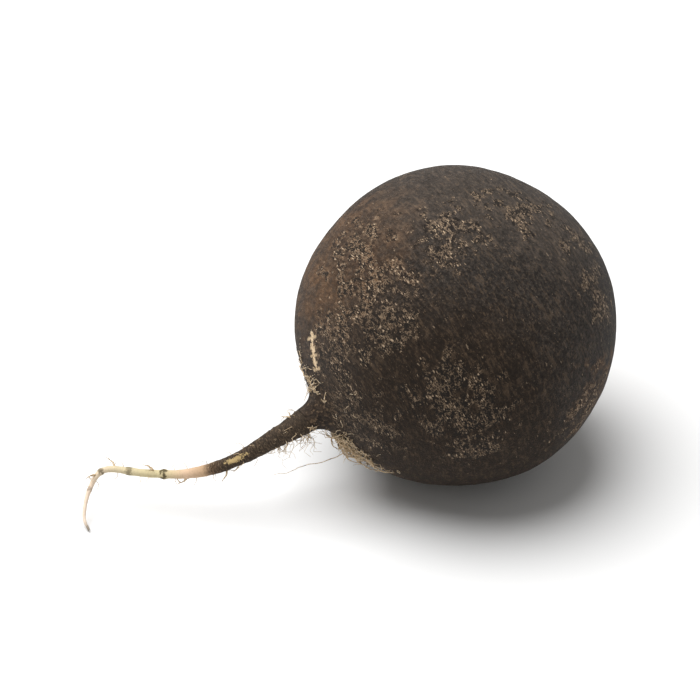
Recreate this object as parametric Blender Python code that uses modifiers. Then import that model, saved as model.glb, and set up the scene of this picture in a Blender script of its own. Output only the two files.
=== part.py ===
"""A round black radish, lying on its side on a small flat spot, with its taproot and its cut crown.

The root's axis dips towards the taproot, which points along -X. The crown is on the +X side.
The origin is the middle of the flat spot that the radish rests on, and +Z is up. Sizes are real, in metres.
"""

import math
import random

import bmesh
import bpy
from mathutils import Matrix, Vector, noise

MM = 0.001

# The swollen root: a ball, slightly lumpy, that rests on a small flat spot.
BODY_RADIUS = 42.5 * MM
REST_SPOT_RADIUS = 7.5 * MM
REST_SPOT_ANGLE = math.asin(REST_SPOT_RADIUS / BODY_RADIUS)
LUMP_HEIGHT = 0.84 * MM
LUMPS_ACROSS = 1.7
LUMP_PATTERN_SHIFT = Vector((3.1, 7.7, 1.3))
LUMPS_RISE_POLAR = (math.radians(24.0), math.radians(40.0))
LUMPS_FALL_POLAR = (math.radians(146.0), math.radians(163.0))
BODY_SIDES = 60
BODY_RINGS = 25

# The plant's axis: the taproot end dips below the horizontal, and the crown is a little off the far pole.
ROOT_DIP = math.radians(18.5)
CROWN_SWING = math.radians(23.5)
CROWN_SWING_TOWARD = math.radians(46.0)
SWING_FULL_POLAR = math.radians(30.0)
SWING_NONE_POLAR = math.radians(118.0)

# The table that the leaf bases stand on, and the broken corky collar round it.
TABLE_RADIUS = 13.2 * MM
TABLE_HEIGHT = 40.8 * MM
COLLAR_RINGS = (
    (13.8, -0.45, 0.05),
    (14.8, 0.25, 1.05),
    (15.7, -0.30, 0.15),
    (16.7, 0.05, 0.75),
    (18.0, -0.02, 0.15),
)
COLLAR_BREAKS = 0.85

# The flare where the ball runs into the taproot. Its end is a little off the axis.
FLARE_START_POLAR = math.radians(165.0)
FLARE_END = 48.0 * MM
FLARE_END_RADIUS = 3.5 * MM
FLARE_END_SHIFT = Vector((-1.0, 0.95, 0.0)) * MM
FLARE_RINGS = 5

# The taproot's middle line after the flare, in millimetres from the rest spot, with the radius there.
TAPROOT_ROUTE = (
    ((-53.6, 3.0, 23.4), 2.60),
    ((-63.3, 6.7, 17.7), 1.85),
    ((-70.5, 11.0, 14.0), 1.58),
    ((-76.5, 16.0, 11.8), 1.18),
    ((-83.4, 22.3, 10.8), 1.05),
    ((-91.6, 28.5, 11.0), 0.84),
    ((-96.8, 27.6, 7.1), 0.62),
    ((-100.9, 23.4, 2.6), 0.45),
    ((-101.6, 19.5, 0.75), 0.32),
)
ROUTE_STEPS = 3
TAPROOT_BEVEL_RESOLUTION = 5

# Rootlets leave along two opposite lines: a dense tuft under the flare, a few over it, some on the taproot.
ROOTLET_LINES = (math.radians(-26.5), math.radians(162.0))
FLARE_ROOTLETS = (16, 6)
FLARE_ROOTLET_POLAR = ((math.radians(9.7), math.radians(23.0)), (math.radians(9.0), math.radians(14.0)))
FLARE_ROOTLET_LENGTH = ((5.0, 11.0), (3.0, 5.5))
FLARE_ROOTLET_LIFT = ((1.0, 2.6), (0.8, 1.5))
TAPROOT_ROOTLETS = 12
TAPROOT_ROOTLET_LENGTH = (1.6, 4.6)
ROOTLET_SINK = 1.3 * MM
ROOTLET_RADIUS = (0.50, 0.30)
ROOTLET_SEED = 11

# The cut crown: an oval stem end, and rings of leaf stalk stubs packed round it.
GAP = 0.3 * MM
CROWN_FOOT = TABLE_HEIGHT + GAP
STEM_RADIUS = 5.9 * MM
STEM_OVAL = 0.93
STEM_TOP = 45.7 * MM
STEM_CUT_SLOPE = 0.10
STEM_SIDES = 36
STUB_RINGS = (
    ((6.30, 2.05), 4.0, (128.0, 108.0, 104.0)),
    ((8.70, 1.65), 3.2, (112.0, 124.0, 100.0)),
    ((10.70, 1.05), 2.3, (96.0, 118.0, 108.0)),
)
STUB_RING_TURN = math.radians(67.0)
STUB_STEPS = 12
STUB_EDGE = 0.16 * MM
STUB_SEED = 3

# Dry scales outside the stubs: low broad blades and two narrow tall ones, curled outwards.
SCALE_RADIUS = 12.5 * MM
SCALE_THICKNESS = 0.65 * MM
BROAD_SCALE_TURNS = (5.0, 62.0, 131.0, 178.0, 296.0)
NARROW_SCALE_TURNS = (96.0, 328.5)
SCALE_SEED = 5

# Colours as red, green and blue in linear light, with roughness.
SKIN = ((0.030, 0.024, 0.019), 0.86)
STEM_FLESH = ((0.52, 0.50, 0.16), 0.55)
STALK_FLESH = ((0.62, 0.55, 0.22), 0.60)
DRY_SKIN = ((0.42, 0.28, 0.16), 0.85)


def make_material(name, finish):
    """A Principled material from a base colour and a roughness."""
    colour, roughness = finish
    material = bpy.data.materials.new(name)
    material.use_nodes = True
    shader = material.node_tree.nodes["Principled BSDF"]
    shader.inputs["Base Color"].default_value = (*colour, 1.0)
    shader.inputs["Roughness"].default_value = roughness
    shader.inputs["Metallic"].default_value = 0.0
    material.diffuse_color = (*colour, 1.0)
    return material


def make_collection(name):
    """A new collection under the scene."""
    collection = bpy.data.collections.new(name)
    bpy.context.scene.collection.children.link(collection)
    return collection


def make_object(name, mesh, collection, parent, material):
    """An object for a finished mesh, shaded smooth up to a sharp edge of 40 degrees."""
    obj = bpy.data.objects.new(name, mesh)
    collection.objects.link(obj)
    obj.parent = parent
    mesh.materials.clear()
    mesh.materials.append(material)
    mesh.shade_smooth()
    mesh.set_sharp_from_angle(angle=math.radians(40.0))
    return obj


def evaluated_mesh(obj):
    """The mesh of an object as its modifiers leave it."""
    bpy.context.view_layer.update()
    depsgraph = bpy.context.evaluated_depsgraph_get()
    return bpy.data.meshes.new_from_object(obj.evaluated_get(depsgraph))


def mesh_from(bm, name):
    """Closes a bmesh into a new mesh, with its faces pointing out."""
    bmesh.ops.recalc_face_normals(bm, faces=bm.faces)
    mesh = bpy.data.meshes.new(name)
    bm.to_mesh(mesh)
    bm.free()
    return mesh


def smoothstep(low, high, value):
    """0 below low, 1 above high and a smooth rise between."""
    share = min(max((value - low) / (high - low), 0.0), 1.0)
    return share * share * (3.0 - 2.0 * share)


def between(pair, share):
    """The value a share of the way from the first of a pair to the second."""
    return pair[0] + (pair[1] - pair[0]) * share


def body_centre_height():
    """Height of the ball's centre over the flat spot."""
    return math.sqrt(BODY_RADIUS**2 - REST_SPOT_RADIUS**2)


def plant_matrix():
    """The plant's frame: +Z runs from the taproot to the far pole, and +X is the side that faces down."""
    turn = Matrix.Rotation(math.pi / 2 - ROOT_DIP, 4, "Y")
    return Matrix.Translation((0.0, 0.0, body_centre_height())) @ turn


def swing_matrix(share):
    """Turns about the ball's centre that carry a point from the far pole towards the crown."""
    hinge = (-math.sin(CROWN_SWING_TOWARD), math.cos(CROWN_SWING_TOWARD), 0.0)
    return Matrix.Rotation(CROWN_SWING * share, 4, Vector(hinge))


def table_outline():
    """The flat table and the collar's rings, as radius and height from the ball's centre."""
    outline = [(TABLE_RADIUS * share, TABLE_HEIGHT) for share in (0.0, 0.35, 0.7, 1.0)]
    for radius, _low, _high in COLLAR_RINGS:
        outline.append((radius * MM, math.sqrt(BODY_RADIUS**2 - (radius * MM) ** 2)))
    return outline


def ball_outline(first_polar):
    """The ball's outline from just outside the collar to the start of the flare."""
    outline = []
    for step in range(1, BODY_RINGS + 1):
        polar = first_polar + (FLARE_START_POLAR - first_polar) * step / BODY_RINGS
        outline.append((BODY_RADIUS * math.sin(polar), BODY_RADIUS * math.cos(polar)))
    return outline


def flare_outline():
    """A hollow curve from the ball to the taproot, tangent to both."""
    start = Vector((BODY_RADIUS * math.sin(FLARE_START_POLAR), BODY_RADIUS * math.cos(FLARE_START_POLAR)))
    end = Vector((FLARE_END_RADIUS, -FLARE_END))
    corner_drop = (start.x - end.x) * math.tan(math.pi - FLARE_START_POLAR)
    corner = Vector((end.x + 0.25 * MM, start.y - corner_drop))
    outline = []
    for step in range(1, FLARE_RINGS + 1):
        t = step / FLARE_RINGS
        point = start * (1 - t) ** 2 + corner * (2 * t * (1 - t)) + end * t**2
        outline.append((point.x, point.y))
    return outline


def turned_body():
    """The ball with its table and flare, turned about the plant's axis and open at the taproot."""
    outline = table_outline()
    last_radius, last_height = outline[-1]
    outline += ball_outline(math.atan2(last_radius, last_height))
    outline += flare_outline()
    mesh = bpy.data.meshes.new("body_outline")
    edges = [(i, i + 1) for i in range(len(outline) - 1)]
    mesh.from_pydata([(radius, 0.0, height) for radius, height in outline], edges, [])
    obj = bpy.data.objects.new("body_outline", mesh)
    bpy.context.scene.collection.objects.link(obj)
    screw = obj.modifiers.new("turn", "SCREW")
    screw.axis = "Z"
    screw.steps = BODY_SIDES
    screw.render_steps = BODY_SIDES
    screw.use_merge_vertices = True
    screw.merge_threshold = 0.00001
    turned = evaluated_mesh(obj)
    bpy.data.objects.remove(obj)
    return turned


def collar_rise(radius, angle):
    """Height of the broken corky collar over the ball at a radius and an angle round the crown."""
    rise = 0.0
    for ring, (middle, low, high) in enumerate(COLLAR_RINGS):
        if abs(radius / MM - middle) < 0.3:
            place = Vector((math.cos(angle), math.sin(angle), 0.6 * ring)) * COLLAR_BREAKS
            wave = 0.5 + 0.5 * noise.noise(place) + 0.45 * noise.noise(place * 2.7)
            rise = (low + (high - low) * 1.6 * min(max(wave, 0.0), 1.0)) * MM
    return rise


def shape_body(bm):
    """Raises the collar, adds the lumps, shifts the flare's end and swings the crown end off the axis."""
    down = plant_matrix().inverted().to_3x3() @ Vector((0.0, 0.0, -1.0))
    for vert in bm.verts:
        place = vert.co.copy()
        radius = math.hypot(place.x, place.y)
        if place.z > 0:
            place.z += collar_rise(radius, math.atan2(place.y, place.x))
        polar = place.angle(Vector((0.0, 0.0, 1.0)), 0.0)
        outward = place.normalized()
        lump = noise.noise(outward * LUMPS_ACROSS + LUMP_PATTERN_SHIFT) * LUMP_HEIGHT
        away_from_ends = smoothstep(*LUMPS_RISE_POLAR, polar) * (1.0 - smoothstep(*LUMPS_FALL_POLAR, polar))
        away_from_rest = smoothstep(REST_SPOT_ANGLE, 2.6 * REST_SPOT_ANGLE, outward.angle(down, 0.0))
        place += outward * lump * away_from_ends * away_from_rest
        down_the_flare = smoothstep(-BODY_RADIUS * math.cos(FLARE_START_POLAR), FLARE_END, -place.z)
        place += FLARE_END_SHIFT * down_the_flare
        share = 1.0 - smoothstep(SWING_FULL_POLAR, SWING_NONE_POLAR, polar)
        vert.co = swing_matrix(share) @ place


def smooth_route(points, steps):
    """Points along the smooth curve through the given points, each with its radius."""
    padded = [points[0], *points, points[-1]]
    route = []
    for i in range(len(points) - 1):
        a, b, c, d = padded[i : i + 4]
        for step in range(steps):
            t = step / steps
            knot = b * 2 + (c - a) * t + (a * 2 - b * 5 + c * 4 - d) * t**2 + (b * 3 - a - c * 3 + d) * t**3
            route.append(knot / 2)
    route.append(points[-1])
    return route


def taproot_route():
    """The taproot's middle line in the plant's frame: x, y, z in metres and the radius in millimetres."""
    to_plant = plant_matrix().inverted()
    points = [
        Vector((*FLARE_END_SHIFT.xy, -FLARE_END - 0.8 * MM, FLARE_END_RADIUS / MM - 0.08)),
        Vector((*FLARE_END_SHIFT.xy, -FLARE_END - 2.4 * MM, FLARE_END_RADIUS / MM - 0.28)),
    ]
    for place, radius in TAPROOT_ROUTE:
        inside = to_plant @ (Vector(place) * MM)
        points.append(Vector((*inside, radius)))
    return smooth_route(points, ROUTE_STEPS)


def tube_mesh(name, route, resolution, closed=True):
    """A tapered tube along a route of points, with closed ends unless told otherwise."""
    curve = bpy.data.curves.new(name, "CURVE")
    curve.dimensions = "3D"
    curve.bevel_depth = MM
    curve.bevel_resolution = resolution
    curve.use_fill_caps = closed
    spline = curve.splines.new("POLY")
    spline.points.add(len(route) - 1)
    for point, place in zip(spline.points, route):
        point.co = (place.x, place.y, place.z, 1.0)
        point.radius = place.w
    obj = bpy.data.objects.new(name, curve)
    bpy.context.scene.collection.objects.link(obj)
    mesh = evaluated_mesh(obj)
    bpy.data.objects.remove(obj)
    bm = bmesh.new()
    bm.from_mesh(mesh)
    bmesh.ops.remove_doubles(bm, verts=bm.verts, dist=0.00001)
    return mesh_from(bm, name)


def add_taproot(bm):
    """Adds the taproot's open tube to the body, bridges the flare to it and closes its tip."""
    flare_edges = [edge for edge in bm.edges if edge.is_boundary]
    route = taproot_route()
    tube = tube_mesh("taproot", route, TAPROOT_BEVEL_RESOLUTION, closed=False)
    bm.from_mesh(tube)
    bpy.data.meshes.remove(tube)
    new_edges = [edge for edge in bm.edges if edge.is_boundary and edge not in flare_edges]
    start = route[0].to_3d()
    near_start = 2 * FLARE_END_RADIUS
    tube_edges = [edge for edge in new_edges if (edge.verts[0].co - start).length < near_start]
    tip_edges = [edge for edge in new_edges if (edge.verts[0].co - start).length >= near_start]
    bmesh.ops.bridge_loops(bm, edges=flare_edges + tube_edges)
    bmesh.ops.holes_fill(bm, edges=tip_edges, sides=len(tip_edges))


def flare_rootlet(draw, line):
    """A curly rootlet that leaves the foot of the flare and hugs the ball."""
    around = ROOTLET_LINES[line] + draw.gauss(0.0, 0.30)
    polar = math.pi - draw.uniform(*FLARE_ROOTLET_POLAR[line])
    length = draw.uniform(*FLARE_ROOTLET_LENGTH[line]) * MM
    heading = draw.uniform(-1.0, 1.0)
    curl = draw.uniform(-1.6, 1.6)
    lift = draw.uniform(*FLARE_ROOTLET_LIFT[line]) * MM
    start = Vector((math.sin(polar) * math.cos(around), math.sin(polar) * math.sin(around), math.cos(polar)))
    up_the_ball = (Vector((0.0, 0.0, 1.0)) - start * start.z).normalized()
    sideways = start.cross(up_the_ball)
    place = start * BODY_RADIUS
    route = [place - start * ROOTLET_SINK]
    steps = 5
    for step in range(steps):
        share = step / (steps - 1)
        turn = heading + curl * share
        along = up_the_ball * math.cos(turn) + sideways * math.sin(turn)
        place = place + along * (length / steps)
        height = BODY_RADIUS + 0.5 * MM + lift * math.sin(math.pi * (0.15 + 0.75 * share))
        route.append(place.normalized() * height)
    return [Vector((*p, between(ROOTLET_RADIUS, i / steps))) for i, p in enumerate(route)]


def taproot_rootlet(draw, line, spine):
    """A short rootlet or broken stub on the taproot, leaning towards its tip."""
    at = int(draw.uniform(0.10, 0.80) * (len(spine) - 2))
    here = spine[at].to_3d()
    along = (spine[at + 1].to_3d() - here).normalized()
    girth = spine[at].w * MM
    around = ROOTLET_LINES[line] + draw.gauss(0.0, 0.35)
    side = Vector((math.cos(around), math.sin(around), 0.0))
    side = (side - along * side.dot(along)).normalized()
    length = draw.uniform(*TAPROOT_ROOTLET_LENGTH) * MM
    lean = draw.uniform(0.2, 1.1)
    bend = draw.uniform(-0.5, 0.7)
    route = [here]
    steps = 3
    for step in range(1, steps + 1):
        share = step / steps
        direction = side + along * (lean + bend * share)
        route.append(here + side * girth * 0.7 + direction.normalized() * length * share)
    thickness = min(0.45, 0.8 * spine[at].w)
    return [Vector((*p, between((thickness, 0.30), i / steps))) for i, p in enumerate(route)]


def add_rootlets(root, collection):
    """Fuses the rootlets into the root with one union."""
    draw = random.Random(ROOTLET_SEED)
    spine = taproot_route()
    routes = []
    for line, count in enumerate(FLARE_ROOTLETS):
        routes += [flare_rootlet(draw, line) for _ in range(count)]
    routes += [taproot_rootlet(draw, k % 2, spine) for k in range(TAPROOT_ROOTLETS)]
    for k, route in enumerate(routes):
        mesh = tube_mesh(f"rootlet_{k + 1}", route, 0)
        rootlet = bpy.data.objects.new(mesh.name, mesh)
        collection.objects.link(rootlet)
        rootlet.parent = root.parent
    union = root.modifiers.new("rootlets", "BOOLEAN")
    union.operation = "UNION"
    union.operand_type = "COLLECTION"
    union.collection = collection
    union.solver = "EXACT"
    fused = evaluated_mesh(root)
    root.modifiers.remove(union)
    root.data = fused
    for rootlet in list(collection.objects):
        bpy.data.objects.remove(rootlet)
    bpy.data.collections.remove(collection)


def cut_rest_spot(root, cutters):
    """Cuts the ball level with the surface that it rests on."""
    depth = 5 * MM
    bpy.ops.mesh.primitive_cube_add(size=1.0, location=(0.0, 0.0, -depth / 2))
    cutter = bpy.context.active_object
    cutter.name = "surface_cutter"
    cutter.scale = (2 * BODY_RADIUS, 2 * BODY_RADIUS, depth)
    cutter.hide_render = True
    cutter.display_type = "WIRE"
    for collection in list(cutter.users_collection):
        collection.objects.unlink(cutter)
    cutters.objects.link(cutter)
    cut = root.modifiers.new("rest_spot", "BOOLEAN")
    cut.operation = "DIFFERENCE"
    cut.solver = "EXACT"
    cut.object = cutter


def build_root(collection, cutters, plant, material):
    """The swollen root, its taproot and its rootlets, in one body."""
    bm = bmesh.new()
    bm.from_mesh(turned_body())
    bmesh.ops.remove_doubles(bm, verts=bm.verts, dist=0.00001)
    shape_body(bm)
    add_taproot(bm)
    root = make_object("root", mesh_from(bm, "root"), collection, plant, material)
    add_rootlets(root, make_collection("rootlets"))
    cut_rest_spot(root, cutters)


def build_stem(collection, crown, material):
    """The cut stem end: oval, a little waisted, with a shallow ring on its sloping cut face."""
    height = STEM_TOP - CROWN_FOOT
    outline = [
        (0.0, 1.00),
        (0.42, 1.01),
        (0.66, 0.985),
        (0.76, 0.935),
        (0.85, 0.99),
        (0.95, 0.97),
        (1.0, 0.88),
        (0.985, 0.55),
        (1.03, 0.20),
        (1.04, 0.0),
        (0.0, 0.0),
    ]
    mesh = bpy.data.meshes.new("stem_outline")
    edges = [(i, i + 1) for i in range(len(outline) - 1)]
    mesh.from_pydata([(STEM_RADIUS * r, 0.0, height * h) for r, h in outline], edges, [])
    obj = bpy.data.objects.new("stem_outline", mesh)
    bpy.context.scene.collection.objects.link(obj)
    screw = obj.modifiers.new("turn", "SCREW")
    screw.axis = "Z"
    screw.steps = STEM_SIDES
    screw.render_steps = STEM_SIDES
    screw.use_merge_vertices = True
    screw.merge_threshold = 0.00001
    turned = evaluated_mesh(obj)
    bpy.data.objects.remove(obj)
    bm = bmesh.new()
    bm.from_mesh(turned)
    bmesh.ops.remove_doubles(bm, verts=bm.verts, dist=0.00001)
    for vert in bm.verts:
        share = vert.co.z / height
        wobble = 1.0 + 0.04 * noise.noise(vert.co * 260.0)
        vert.co.x *= wobble
        vert.co.y *= STEM_OVAL * wobble
        vert.co.z += STEM_CUT_SLOPE * vert.co.x * share + CROWN_FOOT
    make_object("crown_stem", mesh_from(bm, "crown_stem"), collection, crown, material)


def build_stub(name, ring, turn, span, draw, collection, crown, material):
    """One cut leaf stalk base: a crescent with thin ends, leaning out, cut on a slope."""
    (inner, wall), ring_height, _spans = STUB_RINGS[ring]
    thickness = wall * MM
    middle = inner * MM + thickness / 2
    height = ring_height * draw.uniform(0.84, 1.04) * MM
    lean = draw.uniform(0.02, 0.06) + 0.03 * ring
    seed = draw.uniform(0.0, 50.0)
    bm = bmesh.new()
    half = thickness / 2
    corners = ((-half, 0.0), (half, 0.0), (half, height * 0.86), (-half, height))
    verts = [bm.verts.new((middle + across, 0.0, up)) for across, up in corners]
    face = bm.faces.new(verts)
    section = verts + list(face.edges) + [face]
    bmesh.ops.spin(bm, geom=section, cent=(0, 0, 0), axis=(0, 0, 1), angle=span, steps=STUB_STEPS)
    for vert in bm.verts:
        angle = math.atan2(vert.co.y, vert.co.x)
        along = min(max(angle / span, 0.0), 1.0)
        fullness = math.sqrt(max(1.0 - (2.0 * along - 1.0) ** 2, 0.0))
        across = math.hypot(vert.co.x, vert.co.y) - middle
        up_share = vert.co.z / height
        rough = 0.20 * noise.noise(Vector((along * 5.0, seed, across * 900.0)))
        rise = vert.co.z * (0.62 + 0.38 * fullness + rough * up_share)
        radius = middle + across * (0.42 + 0.58 * fullness) + lean * rise
        vert.co = Vector((radius * math.cos(angle), radius * math.sin(angle), CROWN_FOOT + rise))
    stub = make_object(name, mesh_from(bm, name), collection, crown, material)
    stub.rotation_euler.z = turn
    bevel = stub.modifiers.new("edges", "BEVEL")
    bevel.width = STUB_EDGE
    bevel.segments = 1
    bevel.limit_method = "ANGLE"
    bevel.angle_limit = math.radians(50.0)


def build_stubs(collection, crown, material):
    """Three rings of stubs, each ring turned against the one inside it."""
    draw = random.Random(STUB_SEED)
    number = 1
    for ring, (_wall, _height, spans) in enumerate(STUB_RINGS):
        spare = (360.0 - sum(spans)) / len(spans)
        turn = STUB_RING_TURN * ring
        for span in spans:
            name = f"leaf_stalk_stub_{number}"
            build_stub(name, ring, turn, math.radians(span), draw, collection, crown, material)
            turn += math.radians(span + spare)
            number += 1


def build_scale(name, turn, width, height, draw, collection, crown, material):
    """One dry scale: a thin ragged blade round the outside of the stubs, curled outwards."""
    curl = draw.uniform(0.30, 0.55) * height
    lean = draw.uniform(0.25, 0.45)
    skew = draw.uniform(-0.25, 0.25)
    narrowing = draw.uniform(0.45, 0.75)
    seed = draw.uniform(0.0, 50.0)
    bm = bmesh.new()
    bmesh.ops.create_grid(bm, x_segments=6, y_segments=5, size=0.5)
    for vert in bm.verts:
        across = vert.co.x
        up = vert.co.y + 0.5
        angle = (across * (1.0 - narrowing * up**1.5) + skew * up) * width / SCALE_RADIUS
        ragged = 0.22 * up * noise.noise(Vector((across * 4.0, seed, 0.0)))
        ripple = 0.5 * MM * up * noise.noise(Vector((across * 4.0, up * 3.0, seed)))
        radius = SCALE_RADIUS + lean * up * height + curl * up**2 + ripple
        rise = CROWN_FOOT + SCALE_THICKNESS / 2 + height * (up - 0.22 * up**2 + ragged)
        vert.co = Vector((radius * math.cos(angle), radius * math.sin(angle), rise))
    scale = make_object(name, mesh_from(bm, name), collection, crown, material)
    scale.rotation_euler.z = math.radians(turn)
    wall = scale.modifiers.new("wall", "SOLIDIFY")
    wall.thickness = SCALE_THICKNESS
    wall.offset = 0.0


def build_scales(collection, crown, material):
    """The broad low scales, then the narrow tall ones."""
    draw = random.Random(SCALE_SEED)
    number = 1
    for turn in BROAD_SCALE_TURNS:
        width = draw.uniform(7.0, 11.0) * MM
        height = draw.uniform(1.7, 3.0) * MM
        build_scale(f"dry_scale_{number}", turn, width, height, draw, collection, crown, material)
        number += 1
    for turn in NARROW_SCALE_TURNS:
        width = draw.uniform(3.0, 4.0) * MM
        height = draw.uniform(4.5, 6.0) * MM
        build_scale(f"dry_scale_{number}", turn, width, height, draw, collection, crown, material)
        number += 1


def main():
    for obj in list(bpy.data.objects):
        bpy.data.objects.remove(obj)
    radish = make_collection("black_radish")
    cutters = make_collection("cutters")
    plant = bpy.data.objects.new("plant_axis", None)
    radish.objects.link(plant)
    plant.matrix_world = plant_matrix()
    crown = bpy.data.objects.new("crown_axis", None)
    radish.objects.link(crown)
    crown.parent = plant
    crown.matrix_local = swing_matrix(1.0)
    build_root(radish, cutters, plant, make_material("skin", SKIN))
    build_stem(radish, crown, make_material("stem_flesh", STEM_FLESH))
    build_stubs(radish, crown, make_material("stalk_flesh", STALK_FLESH))
    build_scales(radish, crown, make_material("dry_skin", DRY_SKIN))


main()
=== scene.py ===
import math
import random

import bmesh
import bpy
from mathutils import Matrix, Quaternion, Vector, noise
from mathutils.bvhtree import BVHTree


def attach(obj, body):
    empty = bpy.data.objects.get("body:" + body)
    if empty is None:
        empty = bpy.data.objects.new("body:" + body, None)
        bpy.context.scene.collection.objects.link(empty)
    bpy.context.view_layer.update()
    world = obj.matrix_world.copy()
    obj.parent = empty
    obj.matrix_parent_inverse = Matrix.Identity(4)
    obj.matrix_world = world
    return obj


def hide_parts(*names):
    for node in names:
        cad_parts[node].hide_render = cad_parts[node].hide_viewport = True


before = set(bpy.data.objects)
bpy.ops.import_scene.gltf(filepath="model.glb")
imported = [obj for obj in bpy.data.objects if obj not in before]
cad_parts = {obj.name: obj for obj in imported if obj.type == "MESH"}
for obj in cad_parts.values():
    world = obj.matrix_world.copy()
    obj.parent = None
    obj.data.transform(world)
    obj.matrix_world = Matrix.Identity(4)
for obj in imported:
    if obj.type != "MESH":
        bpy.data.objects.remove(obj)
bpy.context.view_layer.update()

mm = 0.001
weld = 0.000001  # metres, points nearer than this become one
print("frame loaded,", len(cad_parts), "nodes")

# where the plant lies: z runs from the taproot to the far pole, x is the side that faces down
plant = {
    "ballRadius": 42.5 * mm,
    "restSpot": 7.5 * mm,  # radius of the flat place underneath
    "rootDip": math.radians(18.5),
    "crownSwing": math.radians(23.5),
    "crownToward": math.radians(46.0),
    "swingFull": math.radians(30.0),
    "swingNone": math.radians(118.0),
}
ballRadius = plant["ballRadius"]
centreHeight = math.sqrt(ballRadius**2 - plant["restSpot"] ** 2)
plantFrame = Matrix.Translation((0, 0, centreHeight)) @ Matrix.Rotation(math.pi / 2 - plant["rootDip"], 4, "Y")


def crownTurn(share):
    toward = plant["crownToward"]
    return Matrix.Rotation(plant["crownSwing"] * share, 4, Vector((-math.sin(toward), math.cos(toward), 0)))


crownFrame = plantFrame @ crownTurn(1.0)


def smooth(low, high, value):
    share = min(max((value - low) / (high - low), 0.0), 1.0)
    return share * share * (3 - 2 * share)


def between(pair, share):
    return pair[0] + (pair[1] - pair[0]) * share


def polarPoint(radius, angle, height=0.0):
    return Vector((radius * math.cos(angle), radius * math.sin(angle), height))


def noiseAt(*place):
    return noise.noise(Vector(place))


def drift(place):
    # a vector of three even noises, because noise_vector starts from the clock
    shifts = (Vector((0.0, 0.0, 0.0)), Vector((31.4, 7.2, 11.9)), Vector((5.3, 47.1, 23.6)))
    return Vector([noise.noise(place + shift) for shift in shifts])


def onBall(polar, around):
    # a direction in the plant's frame
    return polarPoint(math.sin(polar), around, math.cos(polar))


def smoothRoute(points, steps):
    # a smooth curve through points that carry their radius as w
    padded = [points[0], *points, points[-1]]
    route = []
    for i in range(len(points) - 1):
        a, b, c, d = padded[i : i + 4]
        for step in range(steps):
            t = step / steps
            knot = b * 2 + (c - a) * t + (a * 2 - b * 5 + c * 4 - d) * t**2 + (b * 3 - a - c * 3 + d) * t**3
            route.append(knot / 2)
    return route + [points[-1]]


def addObject(name, data):
    new = bpy.data.objects.new(name, data)
    bpy.context.scene.collection.objects.link(new)
    return new


def makePiece(name, bm, material, nodes=(), sharp=None, wall=None):
    # the finished mesh becomes an object at the origin that rides on the root
    bmesh.ops.recalc_face_normals(bm, faces=bm.faces)
    mesh = bpy.data.meshes.new(name)
    bm.to_mesh(mesh)
    bm.free()
    mesh.shade_smooth()
    if sharp:
        mesh.set_sharp_from_angle(angle=math.radians(sharp))
    mesh.materials.append(material)
    piece = addObject(name, mesh)
    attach(piece, "root")
    if nodes:
        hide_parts(*nodes)
    if wall:
        solid = piece.modifiers.new("wall", "SOLIDIFY")
        solid.thickness = wall
        solid.offset = 0.0
    return piece


def smoothProfile(outline, steps):
    # a smooth line of radii and heights through a few of them
    route = smoothRoute([Vector((radius, 0, height, 0)) for radius, height in outline], steps)
    return [(max(point.x, 0.0), point.z) for point in route]


def spun(bm, outline, sides):
    # a line of radii and heights turned into a round body
    line = [bm.verts.new((radius, 0, height)) for radius, height in outline]
    edges = [bm.edges.new(pair) for pair in zip(line, line[1:])]
    bmesh.ops.spin(bm, geom=line + edges, axis=(0, 0, 1), angle=2 * math.pi, steps=sides, use_merge=True)
    bmesh.ops.remove_doubles(bm, verts=bm.verts, dist=weld)


class Wire:
    # a shader socket that can stand in a sum, each operator adds its Math node
    def __init__(self, finish, socket):
        self.finish = finish
        self.socket = socket

    def __add__(self, other):
        return self.finish.math("ADD", self, other)

    __radd__ = __add__

    def __sub__(self, other):
        return self.finish.math("SUBTRACT", self, other)

    def __rsub__(self, other):
        return self.finish.math("SUBTRACT", other, self)

    def __mul__(self, other):
        return self.finish.math("MULTIPLY", self, other)

    __rmul__ = __mul__

    def __truediv__(self, other):
        return self.finish.math("DIVIDE", self, other)

    def __abs__(self):
        return self.finish.math("ABSOLUTE", self)


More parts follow.
